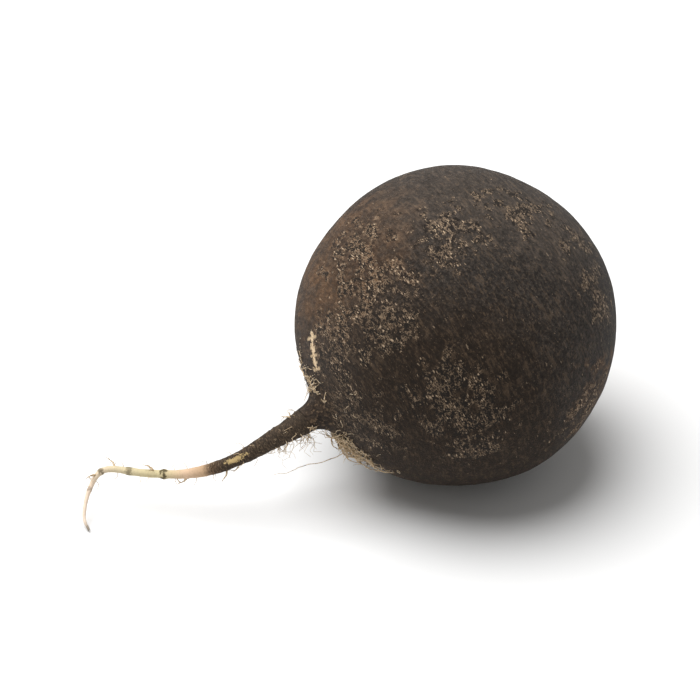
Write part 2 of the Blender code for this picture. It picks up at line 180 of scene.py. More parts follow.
class Finish:
    # one material: its fixed values go on the shader's own sockets, the rest comes through node()
    def __init__(self, name, fixed):
        self.material = bpy.data.materials.new(name)
        self.material.use_nodes = True
        self.tree = self.material.node_tree
        self.shader = self.tree.nodes["Principled BSDF"]
        for socket, value in fixed.items():
            self.shader.inputs[socket].default_value = value
        self.coords = self.node("ShaderNodeTexCoord", output="Object")

    def node(self, kind, settings=None, inputs=None, output=0):
        new = self.tree.nodes.new(kind)
        for key, value in (settings or {}).items():
            if key == "stops":
                self.fillRamp(new.color_ramp, value)
            else:
                setattr(new, key, value)
        for key, value in (inputs or {}).items():
            if isinstance(value, Wire):
                self.tree.links.new(value.socket, new.inputs[key])
            else:
                new.inputs[key].default_value = value
        return Wire(self, new.outputs[output])

    def fillRamp(self, ramp, stops):
        while len(ramp.elements) < len(stops):
            ramp.elements.new(1.0)
        for element, (position, colour) in zip(ramp.elements, stops):
            element.position = position
            element.color = (*colour, 1.0)

    def math(self, operation, first, second=0.0):
        return self.node("ShaderNodeMath", {"operation": operation}, {0: first, 1: second})

    def vector(self, operation, first, second=(0, 0, 0), output=0):
        return self.node("ShaderNodeVectorMath", {"operation": operation}, {0: first, 1: second}, output)

    def length(self, vector):
        return self.vector("LENGTH", vector, output="Value")

    def scaled(self, vector, factor):
        # a vector made longer, or a colour made lighter or darker
        return self.node("ShaderNodeVectorMath", {"operation": "SCALE"}, {"Vector": vector, "Scale": factor})

    def parts(self, vector):
        return [self.node("ShaderNodeSeparateXYZ", None, {0: vector}, axis) for axis in range(3)]

    def joined(self, x, y, z):
        return self.node("ShaderNodeCombineXYZ", None, {0: x, 1: y, 2: z})

    def placed(self, matrix, size):
        # object coordinates seen from a frame of the plant, in units of a size
        inputs = {"Vector": self.coords, "Location": matrix.to_translation(), "Rotation": matrix.to_euler()}
        inputs["Scale"] = (size, size, size)
        return self.node("ShaderNodeMapping", {"vector_type": "TEXTURE"}, inputs)

    def noise(self, place, scale, detail=2.0, rough=0.5, output=0):
        inputs = {"Vector": place, "Scale": scale, "Detail": detail, "Roughness": rough}
        return self.node("ShaderNodeTexNoise", None, inputs, output)

    def cells(self, place, scale, feature="DISTANCE_TO_EDGE", output="Distance"):
        return self.node("ShaderNodeTexVoronoi", {"feature": feature}, {"Vector": place, "Scale": scale}, output)

    def ramp(self, value, low, high):
        # a soft step from 0 at low to 1 at high, which may also fall
        return self.node("ShaderNodeMapRange", {"interpolation_type": "SMOOTHSTEP"}, {0: value, 1: low, 2: high})

    def tint(self, factor, first, second):
        # a share of the second colour over the first
        inputs = {0: factor}
        for socket, colour in ((6, first), (7, second)):
            inputs[socket] = colour if isinstance(colour, Wire) else (*colour, 1.0)
        return self.node("ShaderNodeMix", {"data_type": "RGBA", "clamp_factor": True}, inputs, 2)

    def layered(self, colour, *layers):
        # each layer puts a share of its colour over what lies below
        for share, over in layers:
            colour = self.tint(share, colour, over)
        return colour

    def paint(self, colour, roughness, height, depth):
        bump = self.node("ShaderNodeBump", None, {"Height": height, "Strength": 1.0, "Distance": depth})
        for socket, wire in (("Base Color", colour), ("Roughness", roughness), ("Normal", bump)):
            self.tree.links.new(wire.socket, self.shader.inputs[socket])
        return self.material


# the ball, its collar, its flare and its taproot in one skin

ball = {
    "sides": 240,
    "ringStep": math.radians(0.9),
    "tableRadius": 13.2 * mm,
    "tableHeight": 40.8 * mm,
    "lumpHeight": 0.84 * mm,
    "lumpsAcross": 1.7,
    "lumpShift": Vector((3.1, 7.7, 1.3)),
    "lumpsRise": (math.radians(24), math.radians(40)),
    "lumpsFall": (math.radians(146), math.radians(163)),
    "dimples": ((8.0, 0.10 * mm), (23.0, 0.045 * mm)),  # how many across, how deep
    "flareStart": math.radians(165.0),
    "flareEnd": 48.0 * mm,
    "flareRadius": 3.5 * mm,
    "flareShift": Vector((-1.0, 0.95, 0)) * mm,  # of its end, off the axis
    "flareRings": 26,
    "furrows": 0.30 * mm,  # depth of the folds from the flare into the taproot
    "furrowsRise": (math.radians(150), math.radians(170)),
    "furrowsFall": (44.0 * mm, 47.4 * mm),
}

# radius, lowest and highest rise over the ball, all in millimetres
collar = {
    "rings": (
        (13.2, 0.40, 0.40),
        (13.8, -0.45, 0.05),
        (14.8, 0.25, 1.05),
        (15.7, -0.30, 0.15),
        (16.7, 0.05, 0.75),
        (18.0, -0.02, 0.15),
        (19.8, 0.0, 0.0),
    ),
    "step": 0.2,
    "breaks": 0.85,
    "crumbs": 0.16,
}

taproot = {
    "sides": 48,
    "steps": 24,
    "route": (  # millimetres from the rest spot, and the radius there
        ((-53.6, 3.0, 23.4), 2.60),
        ((-63.3, 6.7, 17.7), 1.85),
        ((-70.5, 11.0, 14.0), 1.58),
        ((-76.5, 16.0, 11.8), 1.18),
        ((-83.4, 22.3, 10.8), 1.05),
        ((-91.6, 28.5, 11.0), 0.84),
        ((-96.8, 27.6, 7.1), 0.62),
        ((-100.9, 23.4, 2.6), 0.45),
        ((-101.6, 19.5, 0.75), 0.32),
    ),
    "knuckles": ((0.540, 0.28), (0.635, 0.17), (0.716, 0.22), (0.803, 0.13)),  # share of the way, swelling
    "knuckleLength": 0.0085,
    "tip": 0.6,  # how far it ends past the last ring, in that ring's radii
}


def collarRise(radius, around):
    # height in millimetres of the broken corky lips over the ball
    rings = collar["rings"]
    size = radius / mm
    if not rings[0][0] <= size <= rings[-1][0]:
        return 0.0
    n = max(i for i in range(len(rings) - 1) if rings[i][0] <= size)
    near, far = rings[n][0], rings[n + 1][0]
    share = smooth(near, far, size) * 0.5 + (size - near) / (far - near) * 0.5
    place = polarPoint(1.0, around, 0.6 * (n + share - 1)) * collar["breaks"]
    wave = 0.5 + 0.5 * noise.noise(place) + 0.45 * noise.noise(place * 2.7)
    low = between((rings[n][1], rings[n + 1][1]), share)
    high = between((rings[n][2], rings[n + 1][2]), share)
    rise = low + (high - low) * 1.6 * min(max(wave, 0.0), 1.0)
    fine = polarPoint(size, around)
    crumbs = noise.noise(fine * 1.1) + 0.7 * noise.noise(fine * 2.6)
    fade = smooth(13.2, 13.9, size) * (1 - smooth(17.8, 19.8, size))
    return rise + collar["crumbs"] * crumbs * fade


def bodyOutline():
    # radius and height of the profile, from the middle of the table to the end of the flare
    outline = [(ball["tableRadius"] * share, ball["tableHeight"]) for share in (0, 0.2, 0.4, 0.6, 0.8)]
    first, last = collar["rings"][0][0], collar["rings"][-1][0]
    count = round((last - first) / collar["step"])
    for i in range(count + 1):
        radius = between((first, last), i / count) * mm
        outline.append((radius, math.sqrt(ballRadius**2 - radius**2)))
    polar = math.atan2(*outline[-1])
    rings = round((ball["flareStart"] - polar) / ball["ringStep"])
    for i in range(1, rings + 1):
        angle = between((polar, ball["flareStart"]), i / rings)
        outline.append((ballRadius * math.sin(angle), ballRadius * math.cos(angle)))
    start = Vector(outline[-1])
    end = Vector((ball["flareRadius"], -ball["flareEnd"]))
    corner = Vector((end.x + 0.25 * mm, start.y - (start.x - end.x) * math.tan(math.pi - ball["flareStart"])))
    for i in range(1, ball["flareRings"] + 1):
        t = i / ball["flareRings"]
        point = start * (1 - t) ** 2 + corner * (2 * t * (1 - t)) + end * t**2
        outline.append((point.x, point.y))
    return outline


def shapeBall(bm, lip):
    down = plantFrame.inverted().to_3x3() @ Vector((0, 0, -1))
    restAngle = math.asin(plant["restSpot"] / ballRadius)
    for vert in bm.verts:
        place = vert.co.copy()
        radius = math.hypot(place.x, place.y)
        around = math.atan2(place.y, place.x)
        if place.z > 0:
            rise = collarRise(radius, around)
            vert[lip] = rise
            place.z += rise * mm
        polar = place.angle(Vector((0, 0, 1)), 0.0)
        outward = place.normalized()
        awayFromEnds = smooth(*ball["lumpsRise"], polar) * (1 - smooth(*ball["lumpsFall"], polar))
        awayFromRest = smooth(restAngle, 2.6 * restAngle, outward.angle(down, 0.0))
        lump = noise.noise(outward * ball["lumpsAcross"] + ball["lumpShift"]) * ball["lumpHeight"]
        for across, depth in ball["dimples"]:
            lump += noise.noise(outward * across) * depth
        flare = smooth(*ball["furrowsRise"], polar) * (1 - smooth(*ball["furrowsFall"], -place.z))
        fold = noise.noise(polarPoint(2.4, around, polar * 1.5))
        place += outward * lump * awayFromEnds * awayFromRest
        place += Vector((outward.x, outward.y, 0)).normalized() * fold * ball["furrows"] * flare * awayFromRest
        place += ball["flareShift"] * smooth(-ballRadius * math.cos(ball["flareStart"]), ball["flareEnd"], -place.z)
        share = 1 - smooth(plant["swingFull"], plant["swingNone"], polar)
        vert.co = crownTurn(share) @ place


def taprootRoute(steps):
    # the middle line in the plant's frame, w is the radius in metres
    toPlant = plantFrame.inverted()
    end, radius = ball["flareEnd"], ball["flareRadius"]
    points = [
        Vector((*ball["flareShift"].xy, -end - 0.8 * mm, radius - 0.08 * mm)),
        Vector((*ball["flareShift"].xy, -end - 2.4 * mm, radius - 0.28 * mm)),
    ]
    for place, girth in taproot["route"]:
        points.append(Vector((*(toPlant @ (Vector(place) * mm)), girth * mm)))
    return smoothRoute(points, steps)


def ringFrames(route):
    # one frame for each ring of a tube, turned on from the one before without twist
    frames = []
    turn = Quaternion()
    heading = Vector((0, 0, -1))
    for i, point in enumerate(route):
        ahead = route[min(i + 1, len(route) - 1)].to_3d() - route[max(i - 1, 0)].to_3d()
        turn = heading.rotation_difference(ahead.normalized()) @ turn
        heading = ahead.normalized()
        frames.append(Matrix.LocRotScale(point.to_3d(), turn, Vector((point.w, point.w, point.w))))
    return frames


def addTaproot(bm, along):
    route = taprootRoute(taproot["steps"])
    frames = ringFrames(route)
    ring = bmesh.ops.create_circle(bm, segments=taproot["sides"], radius=1.0)["verts"]
    edges = list(bm.edges)
    bmesh.ops.transform(bm, matrix=frames[0], verts=ring)
    rings = [ring]
    for last, now in zip(frames, frames[1:]):
        new = bmesh.ops.extrude_edge_only(bm, edges=edges)["geom"]
        ring = [part for part in new if isinstance(part, bmesh.types.BMVert)]
        edges = [part for part in new if isinstance(part, bmesh.types.BMEdge) and part.is_boundary]
        bmesh.ops.transform(bm, matrix=now @ last.inverted(), verts=ring)
        rings.append(ring)
    for i, (ring, point) in enumerate(zip(rings, route)):
        share = i / (len(rings) - 1)
        swell = 0.05 * noiseAt(share * 60, 0, 0) + 0.04 * noiseAt(share * 190, 5, 0)
        for where, size in taproot["knuckles"]:
            swell += size * math.exp(-(((share - where) / taproot["knuckleLength"]) ** 2))
        swell *= smooth(0.0, 0.04, share)
        for vert in ring:
            bump = 0.07 * noise.noise(vert.co * 380) + 0.04 * noise.noise(vert.co * 1100)
            vert.co = point.to_3d() + (vert.co - point.to_3d()) * (1 + swell + bump * smooth(0.0, 0.04, share))
            vert[along] = share
    tip = bmesh.ops.extrude_edge_only(bm, edges=edges)["geom"]
    tip = [part for part in tip if isinstance(part, bmesh.types.BMVert)]
    end = frames[-1].to_translation() + (frames[-1].to_3x3() @ Vector((0, 0, -1))) * taproot["tip"]
    bmesh.ops.pointmerge(bm, verts=tip, merge_co=end)


def makeBodyMesh():
    bm = bmesh.new()
    lip = bm.verts.layers.float.new("lip")
    along = bm.verts.layers.float.new("alongTail")
    spun(bm, bodyOutline(), ball["sides"])
    shapeBall(bm, lip)
    tail = bmesh.new()
    tail.verts.layers.float.new("lip")
    addTaproot(tail, tail.verts.layers.float.new("alongTail"))
    mesh = bpy.data.meshes.new("taproot")
    tail.to_mesh(mesh)
    tail.free()
    bm.from_mesh(mesh)
    bpy.data.meshes.remove(mesh)
    bmesh.ops.bridge_loops(bm, edges=[edge for edge in bm.edges if edge.is_boundary])
    bmesh.ops.transform(bm, matrix=plantFrame, verts=bm.verts)
    for vert in bm.verts:
        vert.co.z = max(vert.co.z, 0.0)  # the flat place it rests on
    bmesh.ops.recalc_face_normals(bm, faces=bm.faces)
    return bm


skinLook = {
    "charcoal": (0.039, 0.0322, 0.0275),
    "soot": (0.014, 0.0105, 0.0082),
    "brown": (0.098, 0.054, 0.028),
    # a dark umber, painted on the lower side as shade
    "undersideShade": (0.022, 0.0130, 0.0070),
    "tan": (0.176, 0.117, 0.071),
    "cream": (0.490, 0.362, 0.245),
    # a lighter grey, partly dust and partly painted sheen where the light falls on the upper side
    "dustAndSheen": (0.080, 0.064, 0.052),
    # where on the ball, then reach and softness in degrees
    "dustAndSheenSpots": (
        # the upper side, where dust and painted sheen lighten the skin
        ((-0.92, 0.09, 0.37), 24, 20),
        ((-0.62, -0.35, 0.71), 12, 16),
        ((-0.10, 0.62, 0.78), 14, 16),
    ),
    "brownSpots": (
        ((-0.84, 0.24, -0.48), 24, 18),
        ((0.34, -0.86, 0.38), 8, 12),
        ((0.75, 0.35, -0.55), 24, 20),
        ((0.10, 0.90, 0.42), 30, 24),
    ),
    # the lower side, where the skin is painted darker as shade
    "undersideShadeSpots": (
        ((-0.22, -0.80, -0.56), 36, 20),
        ((0.40, -0.80, -0.44), 24, 20),
        ((0.30, 0.60, -0.74), 26, 20),
    ),
    "speckSpots": (
        ((-0.82, -0.28, -0.50), 11, 8),
        ((-0.95, -0.30, 0.07), 6, 7),
        ((-0.90, 0.16, -0.38), 5, 9),
        ((-0.78, -0.25, 0.57), 2, 8),
        ((-0.46, -0.44, 0.77), 4, 7),
        ((-0.30, -0.83, -0.47), 12, 8),
        ((-0.02, -0.90, -0.43), 7, 9),
        ((0.32, -0.90, 0.30), 5, 10),
        ((-0.23, -0.68, 0.70), 3, 8),
        ((-0.54, -0.14, -0.83), 11, 7),
        ((-0.16, -0.38, -0.91), 9, 7),
        ((0.80, -0.20, -0.57), 14, 9),
        ((0.62, 0.60, -0.50), 9, 10),
        ((-0.25, 0.90, -0.36), 15, 10),
        ((-0.62, 0.70, 0.36), 8, 9),
        ((0.30, 0.86, 0.42), 13, 10),
        ((0.84, 0.12, 0.52), 7, 10),
    ),
}


def spots(skin, outward, warp, places):
    # soft round places on the ball, their edges moved by a noise
    total = 0.0
    for toward, reach, soft in places:
        near = skin.vector("DOT_PRODUCT", outward, Vector(toward).normalized(), output="Value") + warp
        edges = [math.cos(math.radians(angle)) for angle in (reach + soft, max(reach - soft, 0))]
        total = total + skin.ramp(near, *edges)
    return skin.math("MINIMUM", total, 1.0)


def makeSkin():
    look = skinLook
    fixed = {"Roughness": 0.8, "Specular IOR Level": 0.14, "Sheen Weight": 0.02, "Sheen Roughness": 0.6}
    skin = Finish("radishSkin", fixed)
    place = skin.placed(plantFrame, ballRadius)
    x, y, z = skin.parts(place)
    outward = skin.vector("NORMALIZE", place)
    polar = skin.math("ARCCOSINE", z / skin.length(place))
    rootward = skin.ramp(polar, 1.4, 2.9)  # 1 at the taproot's end
    crownward = skin.ramp(polar, 0.95, 0.45)

    medium = skin.noise(place, 9, 4, 0.65)
    grain = skin.noise(place, 60, 5, 0.75)
    warp = skin.scaled(skin.vector("SUBTRACT", skin.noise(place, 16, 3, 0.6, output="Color"), (0.5, 0.5, 0.5)), 0.05)

    # how cracked and how brown from place to place, where painted shade darkens the underside, and where dust and
    # painted sheen grey the upper side
    edge = (medium - 0.5) * 0.30
    kinds = ("speckSpots", "brownSpots", "undersideShadeSpots", "dustAndSheenSpots")
    amount, brown, undersideShade, dustAndSheen = [spots(skin, outward, edge, look[kind]) for kind in kinds]

    # everything is drawn out along the circles round the axis
    dashPlace = skin.vector("ADD", skin.joined(x, y, polar * 1.6), warp)
    streakPlace = skin.vector("ADD", skin.joined(x, y, polar * 4.0), warp)
    mottle = skin.noise(dashPlace, 27, 3, 0.65)
    streaks = skin.noise(streakPlace, 8, 4, 0.65)
    speckPlace = skin.vector("ADD", skin.joined(x, y, polar * 2.5), warp)
    speckPlace = skin.vector("ADD", speckPlace, skin.scaled(skin.noise(place, 62, 2, 0.6, output="Color"), 0.030))
    speckGap = skin.cells(speckPlace, 34, "F1")
    luck = skin.parts(skin.cells(speckPlace, 34, "F1", "Color"))
    size = 0.12 + 0.25 * luck[2]
    specks = skin.ramp(speckGap - size, 0.10, -0.06) * skin.ramp(luck[0] + 0.55 * amount, 0.955, 0.985)
    scaleGaps = skin.cells(dashPlace, 50)
    cracks = skin.ramp(scaleGaps, 0.12, 0.02) * skin.ramp(mottle + 0.09 * amount, 0.54, 0.64)
    dots = skin.ramp(skin.noise(place, 95, 2, 0.6) + 0.05 * amount, 0.68, 0.74)

    colour = skin.tint(skin.ramp(grain, 0.38, 0.62), look["soot"], look["charcoal"])
    browning = 0.95 * brown + 0.28 * rootward + 0.22 * amount
    colour = skin.layered(
        colour,
        (browning * (0.35 + 0.6 * skin.ramp(medium, 0.38, 0.62)), look["brown"]),
        (undersideShade * 0.8, look["undersideShade"]),
        # dust and painted sheen on the upper side
        (dustAndSheen * 0.42, look["dustAndSheen"]),
    )
    colour = skin.scaled(colour, skin.math("MAXIMUM", 1.9 * mottle + 1.2 * streaks - 0.54, 0.25))
    scratches = skin.ramp(skin.noise(streakPlace, 24, 2, 0.6), 0.60, 0.68)
    pits = skin.ramp(skin.noise(dashPlace, 52, 2, 0.5), 0.52, 0.44)
    crackColour = skin.tint(0.45 * amount, look["tan"], look["cream"])
    speckColour = skin.tint(skin.ramp(luck[1], 0.05, 0.75), look["tan"], look["cream"])
    colour = skin.layered(
        colour,
        (skin.ramp(mottle, 0.55, 0.68) * (0.12 + 0.04 * amount), look["tan"]),
        (skin.ramp(streaks, 0.54, 0.66) * 0.20, look["tan"]),
        (scratches * (0.16 + 0.20 * skin.ramp(medium, 0.46, 0.60)), look["tan"]),
        (amount * 0.9 * skin.ramp(mottle, 0.60, 0.44), look["soot"]),
        (amount * 0.85 * pits, look["soot"]),
        (cracks * (0.16 + 0.52 * amount), crackColour),
        (dots * 0.35, look["cream"]),
        (specks * (0.42 + 0.58 * amount), speckColour),
    )
    # painted shade: the lower side darkened once more, over all the marks
    colour = skin.scaled(colour, 1.0 - 0.18 * undersideShade)
    onNeck = skin.ramp(polar, 2.72, 2.92)
    scuffs = skin.ramp(skin.noise(place, 42, 3, 0.65), 0.54, 0.63) * onNeck
    colour = skin.layered(colour, (onNeck * 0.35, look["soot"]), (scuffs * 0.55, look["tan"]))
    height = 0.9 * grain + 0.5 * skin.ramp(scaleGaps, 0.0, 0.25) + 0.45 * specks + 0.7 * mottle + 0.9 * medium

    colour, height = paintScar(skin, rootward, x, y, place, colour, height)
    colour = paintCollar(skin, place, crownward, colour)
    colour, height = paintTail(skin, x, y, place, colour, height)
    roughness = 0.70 + 0.2 * grain
    return skin.paint(colour, roughness, height, 0.00016)


scarLook = {
    # both ends as seen along the axis, in ball radii
    "start": Vector((-0.520, 0.150)),
    "end": Vector((-0.325, 0.006)),
    "width": 0.022,
    "ticks": ((0.18, 0.070), (0.40, 0.042), (0.58, 0.055), (0.76, 0.038), (0.92, 0.055)),  # share of the way, reach
    "flesh": (0.74, 0.57, 0.37),
    "stained": (0.36, 0.23, 0.12),
    "tick": (0.60, 0.45, 0.28),
}


def paintScar(skin, rootward, x, y, place, colour, height):
    # the ragged pale streak with small cross ticks, where side roots have torn the skin
    start, end = scarLook["start"], scarLook["end"]
    reach = (end - start).length
    ahead = (end - start) / reach
    along = ((x - start.x) * ahead.x + (y - start.y) * ahead.y) / reach
    side = (y - start.y) * ahead.x - (x - start.x) * ahead.y
    torn = skin.noise(place, 38, 3, 0.7) - 0.5
    nicks = skin.noise(place, 110, 2, 0.6) - 0.5
    within = skin.ramp(rootward, 0.2, 0.4)
    off = abs(side + torn * 0.045 + nicks * 0.024)
    width = scarLook["width"] * (3.6 * skin.noise(place, 21, 2) - 1.05) * skin.ramp(abs(along - 0.45), 0.56, 0.30)
    streak = skin.ramp(off - width, 0.003, -0.003) * skin.ramp(abs(along + torn * 0.15 - 0.5), 0.52, 0.46) * within
    ticks = 0.0
    for where, length in scarLook["ticks"]:
        near = skin.ramp(abs(along + torn * 0.10 + nicks * 0.06 - where), 0.042, 0.020)
        ticks = ticks + near * skin.ramp(off, length, length * 0.7)
    ticks = skin.math("MINIMUM", ticks, 1.0) * within
    flesh = skin.tint(skin.ramp(skin.noise(place, 75, 3, 0.65), 0.52, 0.64), scarLook["flesh"], scarLook["stained"])
    colour = skin.layered(colour, (ticks * 0.85, scarLook["tick"]), (streak, flesh))
    return colour, height - 1.2 * streak - 0.5 * ticks


def paintCollar(skin, place, crownward, colour):
    # cream and tan lips, with painted shade blackening the grooves between them
    lip = skin.node("ShaderNodeAttribute", {"attribute_name": "lip"}, output="Fac")
    crumbs = skin.noise(place, 70, 3, 0.65)
    # painted shade: near black where the collar dips into grooves
    grooveShade = skin.ramp(lip, -0.04, -0.20) * crownward
    crest = skin.ramp(lip + (crumbs - 0.5) * 0.9, 0.22, 0.62) * crownward
    return skin.layered(
        colour,
        (grooveShade * 0.85, (0.010, 0.008, 0.007)),
        (crest * 0.55, (0.33, 0.22, 0.14)),
        (crest * skin.ramp(crumbs, 0.50, 0.62), (0.66, 0.52, 0.35)),
    )


tailLook = {
    "colours": (  # share of the way down the taproot
        (0.00, (0.050, 0.036, 0.025)),
        (0.34, (0.058, 0.040, 0.026)),
        (0.375, (0.10, 0.062, 0.036)),
        (0.405, (0.46, 0.31, 0.19)),
        (0.47, (0.62, 0.44, 0.30)),
        (0.54, (0.54, 0.46, 0.27)),
        (0.62, (0.58, 0.50, 0.31)),
        (0.72, (0.66, 0.55, 0.40)),
        (0.80, (0.76, 0.61, 0.48)),
        (0.93, (0.74, 0.61, 0.49)),
        (0.97, (0.30, 0.25, 0.20)),
    ),
    "knuckle": (0.075, 0.058, 0.028),
    "torn": (0.44, 0.32, 0.15),
    "tornToward": Vector((-0.42, -0.62, 0.66)),
}


def paintTail(skin, x, y, place, colour, height):
    look = skinLook
    along = skin.node("ShaderNodeAttribute", {"attribute_name": "alongTail"}, output="Fac")
    onTail = skin.ramp(along, 0.0, 0.05)
    ragged = along + (skin.noise(place, 34, 3, 0.6) - 0.5) * 0.022
    tail = skin.node("ShaderNodeValToRGB", {"stops": tailLook["colours"]}, {"Fac": ragged})
    bark = skin.noise(skin.joined(along * 30, 0.0, 0.0), 9, 3, 0.6)
    fibres = skin.noise(place, 90, 3, 0.65)
    pale = skin.ramp(along, 0.38, 0.41)
    tail = skin.scaled(tail, 0.62 + 0.45 * fibres + 0.30 * bark)
    ridges = skin.noise(skin.joined(x * 3.0, y * 3.0, along * 26), 14, 3, 0.6)
    scuffs = skin.ramp(skin.noise(place, 60, 3, 0.6), 0.60, 0.70)
    tail = skin.layered(
        tail,
        (skin.ramp(ridges, 0.54, 0.44) * 0.6 * (1 - pale), look["soot"]),
        (skin.ramp(ridges, 0.56, 0.66) * 0.5 * (1 - pale), look["tan"]),
        (scuffs * (1 - pale) * 0.55, (0.30, 0.22, 0.14)),
    )
    blotch = skin.noise(place, 44, 2, 0.6)
    for where, size in taproot["knuckles"]:
        ring = skin.ramp(abs(ragged - where) + (0.5 - blotch) * 0.035, 0.012, 0.003)
        tail = skin.tint(ring * min(3.4 * size, 0.92), tail, tailLook["knuckle"])
    # the torn pale patch on the side that faces up and out
    normal = skin.node("ShaderNodeNewGeometry", output="Normal")
    facing = skin.vector("DOT_PRODUCT", normal, tailLook["tornToward"].normalized(), output="Value")
    away = abs(ragged - 0.305)
    patch = skin.ramp(facing + (fibres - 0.5) * 0.45 - 120 * away * away, 0.87, 0.92)
    tail = skin.tint(patch, tail, tailLook["torn"])
    tailHeight = 0.35 * fibres + 0.5 * bark
    height = skin.node("ShaderNodeMix", {"data_type": "FLOAT"}, {0: onTail, 2: height, 3: tailHeight})
    return skin.tint(onTail, colour, tail), height


def makeSkinTree(bm):
    # fixed triangles in a fixed order, so that every run finds the same nearest places
    triangles = bm.copy()
    bmesh.ops.triangulate(triangles, faces=triangles.faces, quad_method="SHORT_EDGE")
    triangles.faces.sort(key=lambda face: face.calc_center_median().dot(Vector((1.0, 1.7, 0.37))))
    tree = BVHTree.FromBMesh(triangles)
    triangles.free()
    return tree


bodyMesh = makeBodyMesh()
skinTree = makeSkinTree(bodyMesh)
body = makePiece("radishBody", bodyMesh, makeSkin(), ["root"])
print("body done,", len(body.data.polygons), "faces")


# rootlets: a few strong ones, and many fine hairs that hug the skin

rootlets = {
    "lines": (math.radians(-26.5), math.radians(162.0)),
    "seed": 11,
    "flareCount": (16, 6),
    "flarePolar": ((math.radians(9.7), math.radians(23.0)), (math.radians(9.0), math.radians(14.0))),
    "flareLength": ((5.0, 11.0), (3.0, 5.5)),
    "flareLift": ((1.0, 2.6), (0.8, 1.5)),
    "tailCount": 12,
    "tailLength": (1.6, 4.6),
    "sink": 1.3 * mm,
    "girth": (0.27 * mm, 0.08 * mm),
    "wriggle": 0.35 * mm,
}
fineHairs = {
    "seed": 29,
    "tufts": (  # degrees round the axis, count, spread, degrees from the taproot, length in millimetres, lift
        (-26.5, 170, 0.34, (8.0, 25.0), (2.5, 8.5), 1.5),
        (138.0, 28, 0.26, (8.0, 26.0), (1.5, 4.5), 0.6),
    ),
    "girth": (0.15 * mm, 0.05 * mm),
    "strays": 30,
    "strayPlace": (6, 34),  # degrees from the taproot
    "strayLength": (1.5, 4.0),
    "strayGirth": (0.09 * mm, 0.04 * mm),
    "tailCount": 46,
    "tailLength": (0.8, 3.2),
    "tailGirth": (0.10 * mm, 0.04 * mm),
    "neckCount": 50,
    "neckSeed": 17,
    "neckLength": (1.5, 8.0, 2.5),  # shortest, longest, most common
    "branchLength": (0.8, 2.8),
    "branchGirth": (0.12 * mm, 0.04 * mm),
    "weld": 0.000005,
    "thread": (  # the one long thread off the tuft, in world millimetres
        (-34.0, -2.0, 15.6), (-37.5, -0.9, 13.6), (-42.0, 0.6, 12.4),
        (-46.5, 2.6, 11.6), (-50.2, 4.0, 10.0), (-53.6, 5.4, 9.8),
    ),
    "threadGirth": (0.17 * mm, 0.06 * mm),
}


def squareTo(along, way):
    # the part of a direction that stands square to another
    return (way - along * way.dot(along)).normalized()


def anyWay(draw):
    return Vector([draw.gauss(0, 1) for _ in range(3)])


def tapered(points, girth):
    # a route whose radius goes from the first girth to the second
    last = len(points) - 1
    return [Vector((*point, between(girth, i / last))) for i, point in enumerate(points)]


def flareRootlet(draw, line):
    around = rootlets["lines"][line] + draw.gauss(0.0, 0.30)
    polar = math.pi - draw.uniform(*rootlets["flarePolar"][line])
    length = draw.uniform(*rootlets["flareLength"][line]) * mm
    heading = draw.uniform(-1.0, 1.0)
    curl = draw.uniform(-1.6, 1.6)
    lift = draw.uniform(*rootlets["flareLift"][line]) * mm
    start = onBall(polar, around)
    upTheBall = squareTo(start, Vector((0, 0, 1)))
    sideways = start.cross(upTheBall)
    place = start * ballRadius
    route = [place - start * rootlets["sink"]]
    steps = 5
    for step in range(steps):
        share = step / (steps - 1)
        turn = heading + curl * share
        place = place + (upTheBall * math.cos(turn) + sideways * math.sin(turn)) * (length / steps)
        height = ballRadius + 0.5 * mm + lift * math.sin(math.pi * (0.15 + 0.75 * share))
        route.append(place.normalized() * height)
    return tapered(route, rootlets["girth"])


def offTaproot(spine, at, side, length, leans, girth, ahead=2, out=0.9):
    # a hair off the taproot, with a lean towards the tip at each step
    here = spine[at].to_3d()
    along = (spine[at + ahead].to_3d() - here).normalized()
    side = squareTo(along, side)
    points = [here]
    for step, lean in enumerate(leans, 1):
        way = (side + along * lean).normalized()
        points.append(here + side * spine[at].w * out + way * length * step / len(leans))
    return tapered(points, girth)


def tailRootlet(draw, line, spine):
    at = int(draw.uniform(0.10, 0.80) * (len(spine) - 2))
    around = rootlets["lines"][line] + draw.gauss(0.0, 0.35)
    length = draw.uniform(*rootlets["tailLength"]) * mm
    lean = draw.uniform(0.2, 1.1)
    bend = draw.uniform(-0.5, 0.7)
    leans = [lean + bend * step / 3 for step in (1, 2, 3)]
    thick = min(0.34 * mm, 0.6 * spine[at].w)
    return offTaproot(spine, at, polarPoint(1.0, around), length, leans, (thick, 0.08 * mm), 1, 0.7)


def wriggled(route, draw, steps):
    # a finer route with small bends off the smooth one
    seed = draw.uniform(0, 90)
    fine = smoothRoute(route, steps)
    for i, point in enumerate(fine):
        offset = drift(Vector((seed, i * 0.45, 0.3))) * rootlets["wriggle"] * smooth(0, 6, i)
        fine[i] = Vector((*(point.to_3d() + offset), point.w))
    return fine


def hairOnSkin(start, heading, length, lift, girth, draw):
    # a thin hair that creeps over the skin and curls as it goes
    place, normal, _index, _gap = skinTree.find_nearest(start)
    heading = squareTo(normal, heading)
    route = [place - normal * 0.3 * mm]
    steps = 9
    bend = draw.gauss(0.0, 0.25)
    for step in range(1, steps + 1):
        bend = bend * 0.7 + draw.gauss(0.0, 0.30)
        heading.rotate(Quaternion(normal, bend))
        place, normal, _index, _gap = skinTree.find_nearest(place + heading * length / steps)
        heading = squareTo(normal, heading)
        arch = math.sin(math.pi * (0.08 + 0.72 * step / steps))
        point = place + normal * (lift * arch * draw.uniform(0.7, 1.3) + girth[0])
        point.z = max(point.z, 0.3 * mm)
        route.append(point)
    return tapered(route, girth)


def skinSpot(fromTaproot, around):
    # a place on the ball in the world, by degrees from the taproot
    return plantFrame @ (onBall(math.pi - math.radians(fromTaproot), around) * ballRadius)


